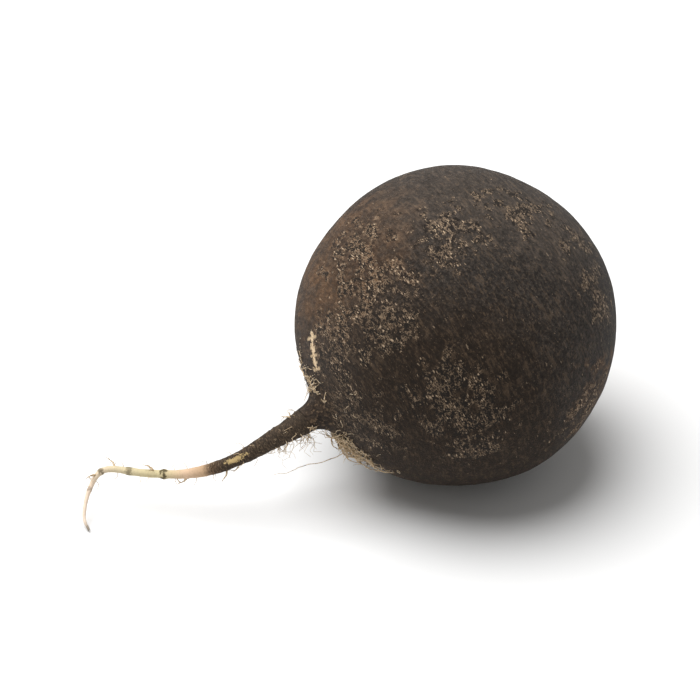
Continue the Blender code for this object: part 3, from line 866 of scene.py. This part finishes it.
def tuftHairs(draw):
    routes = []
    for middle, count, spread, polars, lengths, lift in fineHairs["tufts"]:
        for _ in range(count):
            around = math.radians(middle) + draw.gauss(0.0, spread)
            start = skinSpot(draw.triangular(*polars, polars[0] + 4), around)
            heading = anyWay(draw)
            length = draw.uniform(*lengths) * mm
            thick = draw.uniform(0.5, 1.3)
            girth = [thick * size for size in fineHairs["girth"]]
            routes.append(hairOnSkin(start, heading, length, draw.uniform(0.2, 1.0) * lift * mm, girth, draw))
    for _ in range(fineHairs["strays"]):
        around = draw.uniform(-math.pi, math.pi)
        start = skinSpot(draw.uniform(*fineHairs["strayPlace"]), around)
        heading = anyWay(draw)
        length = draw.uniform(*fineHairs["strayLength"]) * mm
        routes.append(hairOnSkin(start, heading, length, 0.4 * mm, fineHairs["strayGirth"], draw))
    return routes


def tailHairs(draw, spine):
    # short fine hairs off the taproot
    routes = []
    for _ in range(fineHairs["tailCount"]):
        at = int(draw.uniform(0.02, 0.85) ** 1.3 * (len(spine) - 3))
        side = anyWay(draw)
        length = draw.uniform(*fineHairs["tailLength"]) * mm
        leans = [draw.uniform(-0.1, 1.2) for _ in range(3)]
        routes.append(offTaproot(spine, at, side, length, leans, fineHairs["tailGirth"]))
    return routes


def neckHairs(draw, spine):
    # thin hairs that hang from the underside of the flare and the first of the taproot
    routes = []
    for _ in range(fineHairs["neckCount"]):
        at = int(draw.uniform(0.0, 0.24) * len(spine))
        around = rootlets["lines"][0] + draw.gauss(0.0, 0.55)
        length = draw.triangular(*fineHairs["neckLength"]) * mm
        bend = draw.uniform(-1.2, 1.2)
        girth = draw.uniform(0.07, 0.12) * mm
        leans = [draw.uniform(-0.3, 0.5) + bend * step / 5 for step in range(1, 6)]
        routes.append(offTaproot(spine, at, polarPoint(1.0, around), length, leans, (girth, 0.04 * mm)))
    return routes


def sideBranches(routes, draw):
    # thin branches off the strong rootlets
    branches = []
    for route in routes:
        for _ in range(draw.randint(1, 3)):
            at = draw.randint(len(route) // 4, len(route) - 3)
            here = route[at].to_3d()
            along = (route[at + 1].to_3d() - here).normalized()
            side = anyWay(draw).normalized()
            length = draw.uniform(*fineHairs["branchLength"]) * mm
            points = [here]
            for step in range(1, 4):
                bend = side.cross(along) * draw.uniform(-0.5, 0.5)
                points.append(here + (along * 0.6 + side + bend).normalized() * length * step / 3)
            branches.append(tapered(points, fineHairs["branchGirth"]))
    return branches


def longThread(draw):
    points = [Vector(point) * mm for point in fineHairs["thread"]]
    return wriggled(tapered(points, fineHairs["threadGirth"]), draw, 5)


def tubes(name, routes):
    # all routes as one set of thin tapered tubes
    curve = bpy.data.curves.new(name, "CURVE")
    curve.dimensions = "3D"
    curve.bevel_depth = 1.0
    curve.bevel_resolution = 0
    curve.use_fill_caps = True
    for route in routes:
        spline = curve.splines.new("POLY")
        spline.points.add(len(route) - 1)
        for point, place in zip(spline.points, route):
            point.co = (*place.to_3d(), 1.0)
            point.radius = place.w
    holder = addObject(name, curve)
    bpy.context.view_layer.update()
    mesh = bpy.data.meshes.new_from_object(holder.evaluated_get(bpy.context.evaluated_depsgraph_get()))
    bpy.data.objects.remove(holder)
    bm = bmesh.new()
    bm.from_mesh(mesh)
    bmesh.ops.remove_doubles(bm, verts=bm.verts, dist=fineHairs["weld"])
    return bm


def makeRootletFinish():
    hair = Finish("rootlet", {"Roughness": 0.7, "Specular IOR Level": 0.3})
    place = hair.placed(plantFrame, ballRadius)
    patch = hair.noise(place, 16, 3, 0.7)
    fine = hair.noise(place, 130, 3, 0.6)
    # painted shade: hairs that lie on the skin are darker, those that stand off it lighter
    lifted = hair.ramp(hair.length(place), 1.0, 1.035)
    colour = hair.tint(hair.ramp(patch + 0.14 * lifted, 0.48, 0.57), (0.040, 0.024, 0.013), (0.50, 0.36, 0.21))
    colour = hair.tint(hair.ramp(fine + 0.3 * (patch - 0.5), 0.50, 0.60) * 0.8, colour, (0.86, 0.73, 0.55))
    return hair.paint(colour, 0.6 + 0.2 * fine, fine, 0.00005)


def makeRootlets():
    draw = random.Random(rootlets["seed"])
    spine = taprootRoute(3)
    strong = []
    for line, count in enumerate(rootlets["flareCount"]):
        strong += [flareRootlet(draw, line) for _ in range(count)]
    strong += [tailRootlet(draw, k % 2, spine) for k in range(rootlets["tailCount"])]
    draw = random.Random(fineHairs["seed"])
    strong = [wriggled(route, draw, 4) for route in strong]
    inPlant = strong + sideBranches(strong, draw) + tailHairs(draw, taprootRoute(8))
    inPlant += neckHairs(random.Random(fineHairs["neckSeed"]), taprootRoute(8))
    routes = [[Vector((*(plantFrame @ point.to_3d()), point.w)) for point in route] for route in inPlant]
    routes += tuftHairs(draw)
    routes.append(longThread(draw))
    return makePiece("rootletHairs", tubes("rootletHairs", routes), makeRootletFinish())


hairs = makeRootlets()
print("rootlets done,", len(hairs.data.polygons), "faces")


# the cut crown

crown = {
    "foot": 41.1 * mm,
    "warp": 0.80,  # how far things lean out of true, in millimetres
    "warpsAcross": 85,
}


def crownWarp(point):
    place = Vector((point.x, point.y, 0)) * crown["warpsAcross"]
    shift = drift(place + Vector((4.2, 1.3, 7.6))) + 0.13 * drift(place * 4.5 + Vector((0, 0, 0.4)))
    share = smooth(crown["foot"], crown["foot"] + 2.5 * mm, point.z)
    return point + Vector((shift.x, shift.y, 0.6 * shift.z * share)) * crown["warp"] * mm


def makeCrownPiece(name, bm, material, nodes=(), sharp=None, wall=None):
    # shaped upright, it then leans out of true as grown leaf bases do, and tips with the crown
    for vert in bm.verts:
        vert.co = crownWarp(vert.co)
    bmesh.ops.transform(bm, matrix=crownFrame, verts=bm.verts)
    makePiece(name, bm, material, nodes, sharp, wall)


heart = {
    "radius": 5.9 * mm,
    "oval": 0.93,
    "top": 45.7 * mm,
    "slope": 0.10,
    "sides": 128,
    "outline": (
        (0.0, 1.00), (0.42, 1.01), (0.66, 0.985), (0.76, 0.935), (0.85, 0.99), (0.95, 0.97),
        (1.0, 0.88), (0.985, 0.55), (1.03, 0.20), (1.04, 0.0),
    ),
}
stubs = {
    # inner radius and wall in millimetres, height, spans in degrees
    "rings": (
        ((6.30, 2.05), 4.0, (128.0, 108.0, 104.0)),
        ((8.70, 1.65), 3.2, (112.0, 124.0, 100.0)),
        ((10.70, 1.05), 2.3, (96.0, 118.0, 108.0)),
    ),
    "ringTurn": math.radians(67.0),
    "steps": 64,
    "seed": 3,
}
scales = {
    "radius": 12.5 * mm,
    "wall": 0.36 * mm,
    "cadWall": 0.65 * mm,
    "kinds": (  # turns in degrees, width and height in millimetres
        ((5.0, 62.0, 131.0, 178.0, 296.0), (7.0, 11.0), (1.7, 3.0)),
        ((96.0, 328.5), (3.0, 4.0), (4.5, 6.0)),
    ),
    "curl": (0.30, 0.55),
    "lean": (0.25, 0.45),
    "skew": (-0.25, 0.25),
    "narrowing": (0.45, 0.75),
    "seed": 5,
}
wetFlesh = {"Specular IOR Level": 0.4, "Subsurface Radius": (0.9, 0.7, 0.3)}


def makeHeartFinish():
    fixed = {"Roughness": 0.5, "Subsurface Weight": 0.12, "Subsurface Scale": 0.0015}
    flesh = Finish("heartFlesh", wetFlesh | fixed)
    place = flesh.placed(crownFrame, heart["radius"])
    x, y, z = flesh.parts(place)
    fine = flesh.noise(place, 9, 4, 0.7)
    soft = flesh.noise(place, 1.8, 3, 0.6)
    rim = flesh.length(flesh.joined(x, y / heart["oval"], 0.0))
    pith = flesh.length(flesh.joined(x - 0.14, y / heart["oval"] + 0.17, 0.0))
    nearRim = flesh.ramp(rim, 0.15, 0.70)
    radius = rim * nearRim + pith * (1 - nearRim) + (soft - 0.5) * 0.34 + (fine - 0.5) * 0.10
    stops = (
        (0.00, (0.56, 0.30, 0.13)),
        (0.18, (0.60, 0.38, 0.17)),
        (0.36, (0.66, 0.49, 0.20)),
        (0.60, (0.56, 0.46, 0.14)),
        # painted shade: the dark ring from 0.72 to 0.79 lies in the dip of the heart's top
        (0.72, (0.26, 0.22, 0.045)),
        (0.79, (0.095, 0.085, 0.016)),
        (0.85, (0.40, 0.32, 0.09)),
        (0.93, (0.72, 0.58, 0.28)),
        (1.00, (0.46, 0.36, 0.15)),
    )
    colour = flesh.node("ShaderNodeValToRGB", {"stops": stops}, {"Fac": radius})
    angle = flesh.math("ARCTAN2", y, x)
    fan = flesh.joined(flesh.math("COSINE", angle) * 5, flesh.math("SINE", angle) * 5, radius * 0.8)
    rays = flesh.noise(fan, 5, 3, 0.6)
    colour = flesh.scaled(colour, 0.72 + 0.34 * fine + 0.26 * rays)
    broken = flesh.ramp(flesh.noise(place, 2.6, 3, 0.6), 0.50, 0.60) * flesh.ramp(abs(radius - 0.79), 0.12, 0.05)
    wound = flesh.ramp(flesh.noise(place, 4.2, 3, 0.7), 0.56, 0.68)
    # painted shade: the heart's sides darker towards the foot, down between the stubs
    down = flesh.ramp(z, *[(crown["foot"] + rise * mm) / heart["radius"] for rise in (3.6, 0.6)])
    colour = flesh.layered(
        colour,
        (broken * 0.8, (0.62, 0.50, 0.20)),
        (wound * 0.55, (0.27, 0.15, 0.06)),
        (down * 0.8, (0.10, 0.085, 0.025)),
    )
    return flesh.paint(colour, 0.42 + 0.25 * fine, fine + 0.6 * rays, 0.00018)


def makeHeart():
    height = heart["top"] - crown["foot"]
    outline = smoothProfile(heart["outline"], 6) + [(0.0, 0.0)]
    bm = bmesh.new()
    spun(bm, [(heart["radius"] * radius, height * share) for radius, share in outline], heart["sides"])
    for vert in bm.verts:
        share = vert.co.z / height
        wobble = 1.0 + 0.04 * noise.noise(vert.co * 260) + 0.012 * noise.noise(vert.co * 900)
        rough = 0.06 * mm * noise.noise(vert.co * 1500) + 0.10 * mm * noise.noise(vert.co * 420)
        vert.co.x *= wobble
        vert.co.y *= heart["oval"] * wobble
        vert.co.z += heart["slope"] * vert.co.x * share + rough * smooth(0.6, 0.9, share) + crown["foot"]
    makeCrownPiece("crownHeart", bm, makeHeartFinish(), ["crown_stem"])


def makeStalkFinish():
    # cream cut faces, green flesh below, and painted shade darkening the foot between the stubs
    fixed = {"Roughness": 0.55, "Subsurface Weight": 0.10, "Subsurface Scale": 0.0012}
    flesh = Finish("stalkFlesh", wetFlesh | fixed)
    place = flesh.placed(crownFrame, mm)
    x, y, z = flesh.parts(place)
    fine = flesh.noise(place, 1.9, 4, 0.7)
    soft = flesh.noise(place, 0.35, 3, 0.6)
    radius = flesh.length(flesh.joined(x, y, 0.0))
    outer = flesh.ramp(radius + (soft - 0.5) * 2.4, 7.6, 11.2)
    green = flesh.tint(outer, (0.40, 0.34, 0.08), (0.38, 0.26, 0.13))
    cut = flesh.tint(outer, (0.74, 0.60, 0.28), (0.72, 0.54, 0.34))
    top = flesh.ramp(z + (soft - 0.5) * 1.2 + 0.30 * (radius - 6.0), 43.6, 44.9)
    # painted shade: darker towards the foot, down between the stubs
    foot = flesh.ramp(z, 43.2, 41.2)
    pink = flesh.ramp(flesh.noise(place, 0.42, 2, 0.5), 0.50, 0.62)
    dried = flesh.ramp(flesh.noise(place, 0.85, 4, 0.7), 0.52, 0.60) * top
    stain = flesh.ramp(flesh.noise(place, 0.60, 4, 0.75), 0.54, 0.46) * flesh.ramp(fine, 0.44, 0.58)
    colour = flesh.layered(
        flesh.tint(top, green, cut),
        (foot * 0.90, (0.060, 0.042, 0.014)),
        (pink * 0.45, (0.56, 0.36, 0.24)),
        (dried * 0.7, (0.86, 0.74, 0.50)),
        (stain * 0.75, (0.20, 0.115, 0.045)),
    )
    fibres = flesh.noise(flesh.joined(x * 2.6, y * 2.6, z * 0.35), 1.4, 3, 0.6)
    colour = flesh.scaled(colour, 0.50 + 0.60 * fine + 0.42 * fibres)
    return flesh.paint(colour, 0.45 + 0.3 * fine, fine + fibres, 0.00022)


def makeStub(number, ring, turn, span, draw, material):
    (inner, wall), ringHeight, _spans = stubs["rings"][ring]
    thickness = wall * mm
    middle = inner * mm + thickness / 2
    height = ringHeight * draw.uniform(0.84, 1.04) * mm
    lean = draw.uniform(0.02, 0.06) + 0.03 * ring
    seed = draw.uniform(0.0, 50.0)
    slant = noiseAt(seed, 0.5, 4.5)
    half = thickness / 2
    bm = bmesh.new()
    corners = ((-half, 0), (half, 0), (half, height * 0.86), (-half, height))
    verts = [bm.verts.new((middle + across, 0, up)) for across, up in corners]
    bm.faces.new(verts)
    offset = thickness * 0.24
    bmesh.ops.bevel(bm, geom=verts[2:], affect="VERTICES", offset=offset, segments=4, profile=0.5, material=-1)
    sides = [edge for edge in bm.edges if edge.calc_length() > thickness * 0.45]
    bmesh.ops.subdivide_edges(bm, edges=sides, cuts=7)
    section = list(bm.verts) + list(bm.edges) + list(bm.faces)
    bmesh.ops.spin(bm, geom=section, axis=(0, 0, 1), angle=span, steps=stubs["steps"])
    for vert in bm.verts:
        angle = math.atan2(vert.co.y, vert.co.x)
        along = min(max(angle / span, 0.0), 1.0)
        fullness = math.sqrt(max(1.0 - (2.0 * along - 1.0) ** 2, 0.0))
        across = math.hypot(vert.co.x, vert.co.y) - middle
        upShare = vert.co.z / height
        rough = 0.26 * noiseAt(along * 5.0, seed, across * 700.0) + 0.5 * slant * (along - 0.5)
        rise = vert.co.z * (0.62 + 0.38 * fullness + rough * upShare)
        wave = noiseAt(along * 4.3, seed, 9.0) + 0.3 * noiseAt(along * 17.0, seed, 2.0)
        full = (0.42 + 0.58 * fullness) * min(1.0 + 0.42 * wave, 1.14)
        radius = middle + across * full + lean * rise + 0.22 * mm * noiseAt(along * 2.6, seed, 30.0)
        # knife marks on the cut, and a face that has dried a little hollow
        fine = polarPoint(radius, angle, rise) * 1000
        hollow = 0.22 * mm * (1 - (across / half) ** 2) * smooth(0.8, 0.95, upShare) * fullness
        rise += smooth(0.5, 0.9, upShare) * 0.10 * mm * noise.noise(fine * 1.3 + Vector((seed, 0, 0))) - hollow
        radius += 0.07 * mm * noise.noise(fine * 0.9 + Vector((0, seed, 0))) * smooth(0.0, 0.3, upShare)
        vert.co = polarPoint(radius, angle + turn, crown["foot"] + rise)
    makeCrownPiece(f"stalkStub{number}", bm, material, [f"leaf_stalk_stub_{number}"], sharp=55)


def makeStubs():
    material = makeStalkFinish()
    draw = random.Random(stubs["seed"])
    number = 1
    for ring, (_wall, _height, spans) in enumerate(stubs["rings"]):
        spare = (360.0 - sum(spans)) / len(spans)
        turn = stubs["ringTurn"] * ring
        for span in spans:
            makeStub(number, ring, turn, math.radians(span), draw, material)
            turn += math.radians(span + spare)
            number += 1


bed = {
    # what has dried between the leaf bases: radius and height over the foot in millimetres
    "outline": (
        (0.0, 2.2), (5.6, 2.5), (8.3, 2.0), (10.4, 1.4), (12.0, 0.7),
        (12.8, 0.1), (12.6, -0.5), (9.0, -0.6), (0.0, -0.6),
    ),
    "lumps": 0.42 * mm,
    "steps": 10,
    "sides": 200,
}


def makeBedFinish():
    # olive and brown dried leaf bases with paler crumbs
    felt = Finish("driedBed", {"Roughness": 0.9, "Specular IOR Level": 0.2})
    place = felt.placed(crownFrame, mm)
    soft = felt.noise(place, 0.7, 3, 0.6)
    fine = felt.noise(place, 3.2, 4, 0.7)
    colour = felt.tint(felt.ramp(soft, 0.42, 0.58), (0.085, 0.060, 0.018), (0.17, 0.10, 0.050))
    colour = felt.tint(felt.ramp(fine, 0.50, 0.62) * 0.8, colour, (0.52, 0.39, 0.20))
    colour = felt.scaled(colour, 0.45 + 0.8 * fine)
    return felt.paint(colour, 0.75 + 0.2 * fine, fine + soft, 0.00025)


def makeBed():
    outline = smoothProfile(bed["outline"], bed["steps"])
    bm = bmesh.new()
    spun(bm, [(radius * mm, crown["foot"] + height * mm) for radius, height in outline], bed["sides"])
    for vert in bm.verts:
        if vert.co.z > crown["foot"]:
            lumps = noise.noise(vert.co * 330) + 0.5 * noise.noise(vert.co * 900) + 0.3 * noise.noise(vert.co * 2200)
            vert.co.z += bed["lumps"] * lumps
    makeCrownPiece("crownBed", bm, makeBedFinish())


def makeScaleFinish():
    # papery, tan to purple brown with fine lengthwise fibres and pale rims
    dry = Finish("dryScale", {"Roughness": 0.8, "Specular IOR Level": 0.25})
    place = dry.placed(crownFrame, mm)
    x, y, z = dry.parts(place)
    fine = dry.noise(place, 2.4, 4, 0.7)
    soft = dry.noise(place, 0.30, 3, 0.6)
    fibres = dry.noise(dry.joined(x * 3.2, y * 3.2, z * 0.45), 1.0, 4, 0.65)
    rim = dry.ramp(z + (soft - 0.5) * 2.6 + (fine - 0.5) * 0.8, 43.0, 44.2)
    colour = dry.layered(
        dry.tint(dry.ramp(soft, 0.46, 0.64), (0.085, 0.050, 0.046), (0.34, 0.21, 0.125)),
        (rim * 0.70, (0.66, 0.51, 0.33)),
        # painted shade: darker at the foot, down in the collar
        (dry.ramp(z, 42.0, 41.0) * 0.85, (0.030, 0.020, 0.014)),
        (dry.ramp(fibres, 0.54, 0.64) * 0.45, (0.70, 0.55, 0.38)),
        (dry.ramp(fibres, 0.46, 0.38) * 0.6, (0.035, 0.022, 0.020)),
    )
    colour = dry.scaled(colour, 0.35 + 1.2 * fine)
    return dry.paint(colour, 0.65 + 0.3 * fine, fine + 1.4 * fibres, 0.00018)


def bendBlade(verts, blade):
    # a flat unit grid becomes a ragged blade that stands round the crown and curls outwards
    for vert in verts:
        across = vert.co.x
        up = vert.co.y + 0.5
        seed = blade["seed"]
        side = across * (1.0 - blade["narrowing"] * up**1.5) + blade["skew"] * up
        angle = side * blade["width"] / blade["radius"] + blade["turn"]
        ragged = 0.22 * up * noiseAt(across * 4.0, seed, 0.0)
        ragged += 0.10 * up**2 * noiseAt(across * 17.0, seed, 3.0)
        ripple = 0.5 * mm * up * noiseAt(across * 4.0, up * 3.0, seed)
        ripple += 0.12 * mm * noiseAt(across * 14.0, up * 4.0, seed)
        radius = blade["radius"] + blade["lean"] * up * blade["height"] + blade["curl"] * up**2 + ripple
        rise = blade["foot"] + blade["height"] * (up - 0.22 * up**2 + ragged)
        vert.co = polarPoint(radius, angle, rise)


def rollBlade(draw, kind, blade):
    # the rest of a blade's form by chance, within its kind's ranges
    for key in ("curl", "lean", "skew", "narrowing"):
        blade[key] = draw.uniform(*kind[key])
    blade["curl"] *= blade["height"]
    blade["seed"] = draw.uniform(0.0, 50.0)


def makeScales(material):
    draw = random.Random(scales["seed"])
    number = 1
    for turns, widths, heights in scales["kinds"]:
        for turn in turns:
            foot = crown["foot"] + scales["cadWall"] / 2
            blade = {"turn": math.radians(turn), "radius": scales["radius"], "foot": foot}
            blade["width"] = draw.uniform(*widths) * mm
            blade["height"] = draw.uniform(*heights) * mm
            rollBlade(draw, scales, blade)
            bm = bmesh.new()
            bmesh.ops.create_grid(bm, x_segments=30, y_segments=20, size=0.5)
            bendBlade(bm.verts, blade)
            nodes = [f"dry_scale_{number}"]
            makeCrownPiece(f"dryScale{number}", bm, material, nodes, wall=scales["wall"])
            number += 1


shreds = {
    "count": 58,
    "radius": (13.2, 17.2),
    "width": (0.9, 3.0),
    "height": (0.7, 1.9),
    "curl": (-0.2, 1.3),
    "lean": (0.1, 1.0),
    "skew": (-0.6, 0.6),
    "narrowing": (0.3, 0.9),
    "sink": 0.35 * mm,
    "wall": 0.14 * mm,
    "lowSide": math.radians(230.0),
    "seed": 41,
}


def makeShreds(material):
    # small dry shreds that cling to the collar
    draw = random.Random(shreds["seed"])
    bm = bmesh.new()
    for _ in range(shreds["count"]):
        radius = draw.uniform(*shreds["radius"]) * mm
        height = draw.uniform(*shreds["height"]) * mm
        turn = draw.uniform(-math.pi, math.pi)
        fromLow = abs(math.remainder(turn - shreds["lowSide"], 2 * math.pi))
        height *= 0.40 + 0.60 * smooth(math.radians(25), math.radians(65), fromLow)
        ground = math.sqrt(ballRadius**2 - radius**2) + collarRise(radius, turn) * mm
        blade = {"turn": turn, "radius": radius, "height": height, "foot": ground - shreds["sink"]}
        blade["width"] = draw.uniform(*shreds["width"]) * mm
        rollBlade(draw, shreds, blade)
        bendBlade(bmesh.ops.create_grid(bm, x_segments=6, y_segments=4, size=0.5)["verts"], blade)
    bmesh.ops.transform(bm, matrix=crownFrame, verts=bm.verts)
    makePiece("collarShreds", bm, material, wall=shreds["wall"])


makeHeart()
makeStubs()
makeBed()
dryMaterial = makeScaleFinish()
makeScales(dryMaterial)
makeShreds(dryMaterial)
print("crown done")


# floor, light and camera

studio = {
    "floor": (0.785, 0.785, 0.785),
    "floorReach": 8.0,
    "sky": (1.0, 0.99, 0.97),
    "skyStrength": 0.35,
    "keyPlace": (-1.35, 1.45, 6.2),
    "keySize": 7.0,
    "keyPower": 705.0,
    "aim": Vector((-0.0261, 0.0113, 0.0368)),
    "azimuth": math.radians(-30.7),
    "elevation": math.radians(35.0),
    "distance": 1.3,
    "frameWidth": 0.186,  # metres seen across the picture at the object
    "sensor": 36.0,  # in millimetres
}


def makeFloor():
    bm = bmesh.new()
    bmesh.ops.create_grid(bm, x_segments=1, y_segments=1, size=studio["floorReach"])
    mesh = bpy.data.meshes.new("floor")
    bm.to_mesh(mesh)
    bm.free()
    floor = addObject("floor", mesh)
    fixed = {"Roughness": 0.9, "Specular IOR Level": 0.1, "Base Color": (*studio["floor"], 1.0)}
    paper = Finish("paleFloor", fixed)
    mesh.materials.append(paper.material)


def makeLight():
    world = bpy.data.worlds.new("softbox")
    world.use_nodes = True
    inputs = world.node_tree.nodes["Background"].inputs
    inputs["Color"].default_value = (*studio["sky"], 1.0)
    inputs["Strength"].default_value = studio["skyStrength"]
    bpy.context.scene.world = world
    key = bpy.data.lights.new("key", "AREA")
    key.shape = "DISK"
    key.size = studio["keySize"]
    key.energy = studio["keyPower"]
    lamp = addObject("key", key)
    lamp.location = studio["keyPlace"]
    lamp.rotation_euler = (studio["aim"] - lamp.location).to_track_quat("-Z", "Y").to_euler()


def makeCamera():
    lens = bpy.data.cameras.new("camera")
    lens.sensor_width = studio["sensor"]
    lens.lens = studio["sensor"] * studio["distance"] / studio["frameWidth"]
    lens.clip_start = 0.01
    lens.clip_end = 50.0
    camera = addObject("camera", lens)
    a, e = studio["azimuth"], studio["elevation"]
    away = Vector((math.sin(a) * math.cos(e), -math.cos(a) * math.cos(e), math.sin(e)))
    camera.location = studio["aim"] + away * studio["distance"]
    camera.rotation_euler = (-away).to_track_quat("-Z", "Y").to_euler()
    bpy.context.scene.camera = camera


makeFloor()
makeLight()
makeCamera()
bpy.context.scene.view_settings.view_transform = "Standard"
print("studio done")
